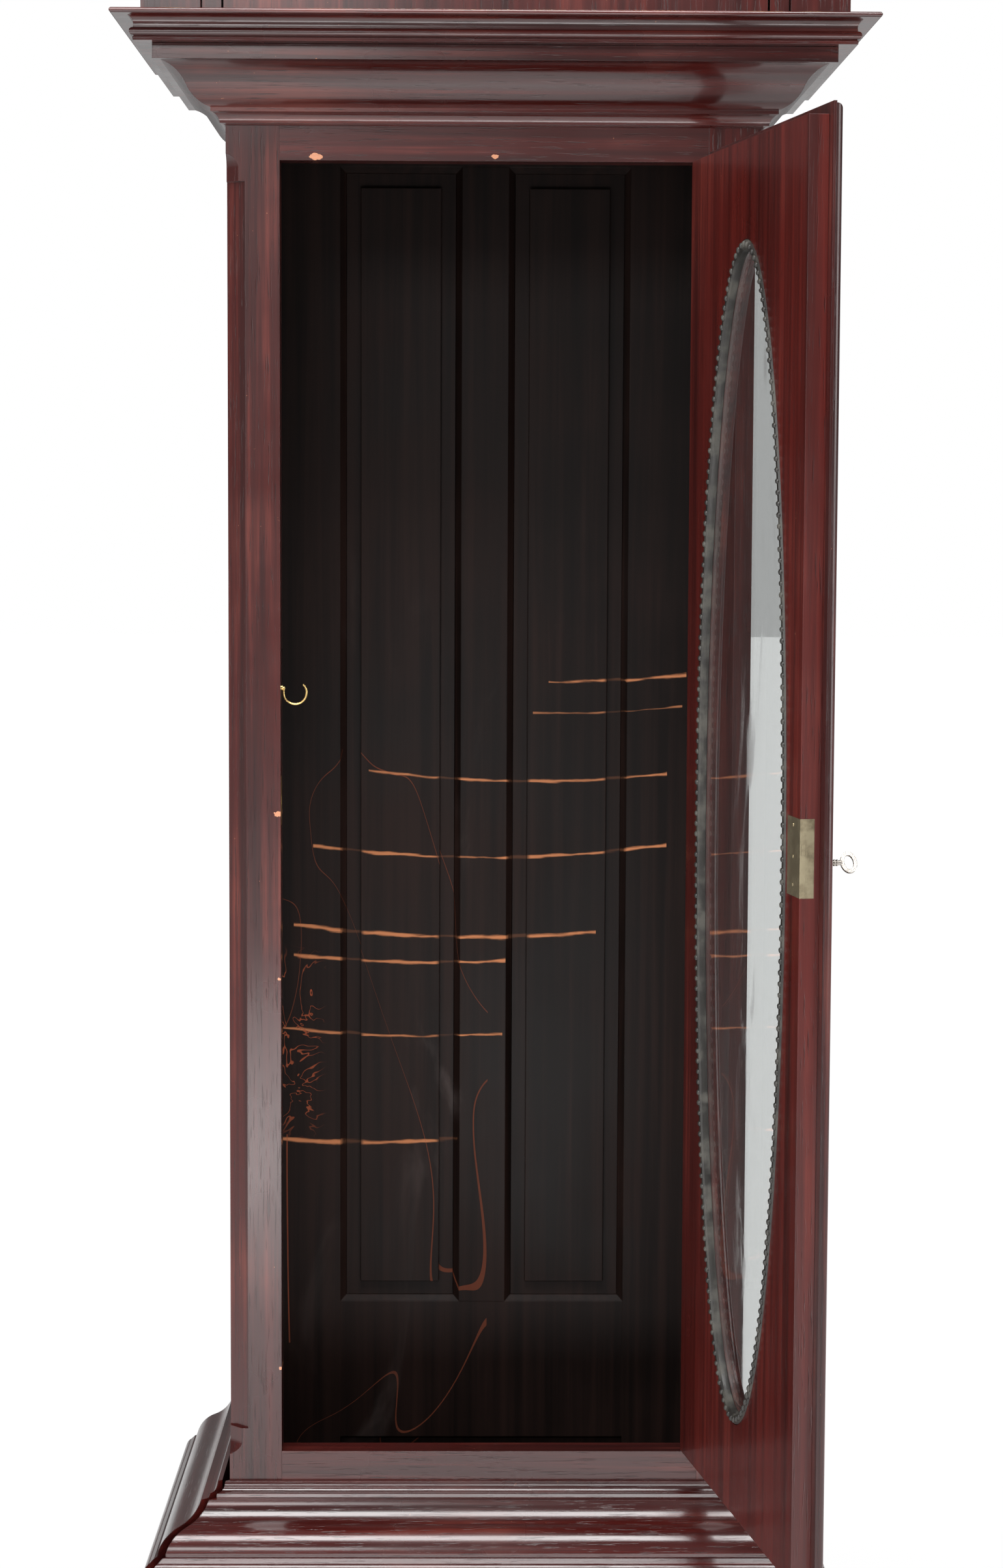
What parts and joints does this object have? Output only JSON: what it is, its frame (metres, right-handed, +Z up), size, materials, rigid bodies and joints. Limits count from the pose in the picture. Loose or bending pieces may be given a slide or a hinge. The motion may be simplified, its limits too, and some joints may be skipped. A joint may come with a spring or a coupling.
{
  "type": "longcase clock",
  "caption": "Large mahogany longcase clock with its oval-glazed trunk door standing open, brass lock and hook, removable pedimented hood and spring-driven movement",
  "frame": {"origin": "on the floor under the middle of the trunk", "axes": "+Z up, front faces -Y, +X to the right seen from the front"},
  "size_m": [0.726, 0.7442, 2.5978],
  "materials": {
    "mahogany": "french polished, worn, reddish brown",
    "pale_mahogany": "unpolished inside faces",
    "back_oak": "stained, scratched and rubbed",
    "brass": "tarnished brass",
    "silvered": "silvered ring",
    "steel": "worn steel",
    "blued_steel": "blued hands",
    "glass": "clear, bevelled",
    "dark_rope": "dark stained carved bead"
  },
  "bodies": {
    "case": {"base_floor_board": "pale_mahogany", "base_front_frame": "mahogany", "base_front_panel": "mahogany", "base_sides": "mahogany", "base_back_board": "pale_mahogany", "base_skirting": "mahogany", "base_moulding_front": "mahogany", "base_moulding_returns": "mahogany", "trunk_stiles": "mahogany", "trunk_rails": "mahogany", "trunk_sides": "mahogany", "throat_moulding": "mahogany", "back_frame": "back_oak", "back_panels": "back_oak", "seat_board": "pale_mahogany", "trunk_hinge_case_leaves": "brass", "lock_keeper": "brass", "cup_hook": "brass", "dial_plate": "brass", "chapter_ring": "silvered", "movement_plates": "brass", "bell": "brass"},
    "trunk_door": {"trunk_door_leaf": "mahogany", "trunk_door_lip": "mahogany", "oval_front_moulding": "mahogany", "oval_glass": "glass", "oval_rope_bead": "dark_rope", "lock_case": "brass", "key_escutcheon": "brass", "trunk_hinge_door_leaves": "brass"},
    "trunk_lock_bolt": {"lock_bolt": "brass"},
    "key": {"trunk_key": "steel"},
    "hood": {"hood_base": "mahogany", "hood_sides": "mahogany", "hood_side_glasses": "glass", "hood_columns": "mahogany", "hood_column_rings": "brass", "hood_dial_mask": "mahogany", "hood_frieze": "mahogany", "hood_cornice": "mahogany", "hood_pediment": "mahogany", "hood_finial": "brass", "hood_hinge_leaves": "brass"},
    "hood_door": {"hood_door_frame": "mahogany", "hood_door_glass": "glass", "hood_door_hinge_leaves": "brass"},
    "hood_catch": {"hood_door_catch": "brass"},
    "minute_arbor": {"centre_wheel": "brass", "minute_hand": "blued_steel"},
    "hour_pipe": {"hour_wheel": "brass", "hour_hand": "blued_steel"},
    "minute_motion": {"minute_wheel": "brass"},
    "intermediate_arbor": {"intermediate_wheel": "brass"},
    "going_barrel": {"spring_barrel": "brass"},
    "barrel_arbor": {"winding_arbor": "steel"},
    "third_arbor": {"third_wheel": "brass"},
    "escape_arbor": {"escape_wheel": "brass"},
    "anchor": {"pallets_and_crutch": "steel"},
    "pendulum_body": {"pendulum": "brass"},
    "strike_hammer": {"hammer": "steel"}
  },
  "joints": [
    {"name": "trunk_door_swing", "type": "hinge", "parent": "case", "child": "trunk_door", "pos_m": [0.2015, -0.1748, 1.1618], "axis": [0, 0, 1], "range_deg": [-99.7, 20]},
    {"name": "trunk_key_turn", "type": "hinge", "parent": "trunk_door", "child": "key", "pos_m": [0.26014, -0.54633, 1.1637], "axis": [-0.9857, -0.1685, 0], "range_deg": [0, 180]},
    {"name": "lock_bolt_slide", "type": "slide", "parent": "trunk_door", "child": "trunk_lock_bolt", "axis": [0.1685, -0.9857, 0], "range_m": [0, 0.009]},
    {"name": "hood_slide", "type": "slide", "parent": "case", "child": "hood", "axis": [0, -1, 0], "range_m": [0, 0.38]},
    {"name": "hood_door_swing", "type": "hinge", "parent": "hood", "child": "hood_door", "pos_m": [0.2476, -0.2331, 2.1212], "axis": [0, 0, 1], "range_deg": [0, 100]},
    {"name": "hood_catch_turn", "type": "hinge", "parent": "hood_door", "child": "hood_catch", "pos_m": [-0.226, -0.2175, 2.1212], "axis": [0, 1, 0], "range_deg": [-90, 0]},
    {"name": "minute_hand_turn", "type": "hinge", "parent": "case", "child": "minute_arbor", "pos_m": [0, -0.122, 2.1212], "axis": [0, 1, 0], "continuous": true},
    {"name": "hour_hand_turn", "type": "hinge", "parent": "case", "child": "hour_pipe", "pos_m": [0, -0.122, 2.1212], "axis": [0, 1, 0], "continuous": true},
    {"name": "minute_wheel_turn", "type": "hinge", "parent": "case", "child": "minute_motion", "pos_m": [-0.02078, -0.122, 2.1332], "axis": [0, 1, 0], "continuous": true},
    {"name": "intermediate_turn", "type": "hinge", "parent": "case", "child": "intermediate_arbor", "pos_m": [-0.02896, -0.122, 2.0969], "axis": [0, 1, 0], "continuous": true},
    {"name": "barrel_turn", "type": "hinge", "parent": "case", "child": "going_barrel", "pos_m": [0, -0.122, 2.05737], "axis": [0, 1, 0], "continuous": true},
    {"name": "winding_turn", "type": "hinge", "parent": "case", "child": "barrel_arbor", "pos_m": [0, -0.122, 2.05737], "axis": [0, 1, 0], "continuous": true},
    {"name": "third_turn", "type": "hinge", "parent": "case", "child": "third_arbor", "pos_m": [0.018, -0.122, 2.15238], "axis": [0, 1, 0], "continuous": true},
    {"name": "escape_turn", "type": "hinge", "parent": "case", "child": "escape_arbor", "pos_m": [0, -0.122, 2.17944], "axis": [0, 1, 0], "continuous": true},
    {"name": "pendulum_swing", "type": "hinge", "parent": "case", "child": "pendulum_body", "pos_m": [0, -0.069, 2.20144], "axis": [0, 1, 0], "range_deg": [-3, 3]},
    {"name": "pallets_rock", "type": "hinge", "parent": "case", "child": "anchor", "pos_m": [0, -0.122, 2.20144], "axis": [0, 1, 0], "range_deg": [-3, 3]},
    {"name": "hammer_lift", "type": "hinge", "parent": "case", "child": "strike_hammer", "pos_m": [0.03, -0.122, 2.1872], "axis": [0, 1, 0], "range_deg": [0, 12], "stiffness_Nm_per_rad": 0.05}
  ],
  "couplings": [
    {"joint": "trunk_key_turn", "follows": "lock_bolt_slide", "rad_per_m": 349.07},
    {"joint": "hour_hand_turn", "follows": "minute_hand_turn", "ratio": 0.083333},
    {"joint": "minute_wheel_turn", "follows": "minute_hand_turn", "ratio": -0.33333},
    {"joint": "intermediate_turn", "follows": "minute_hand_turn", "ratio": -0.2},
    {"joint": "barrel_turn", "follows": "minute_hand_turn", "ratio": 0.033333},
    {"joint": "third_turn", "follows": "minute_hand_turn", "ratio": -11},
    {"joint": "escape_turn", "follows": "minute_hand_turn", "ratio": 132},
    {"joint": "pallets_rock", "follows": "pendulum_swing", "ratio": 1}
  ]
}
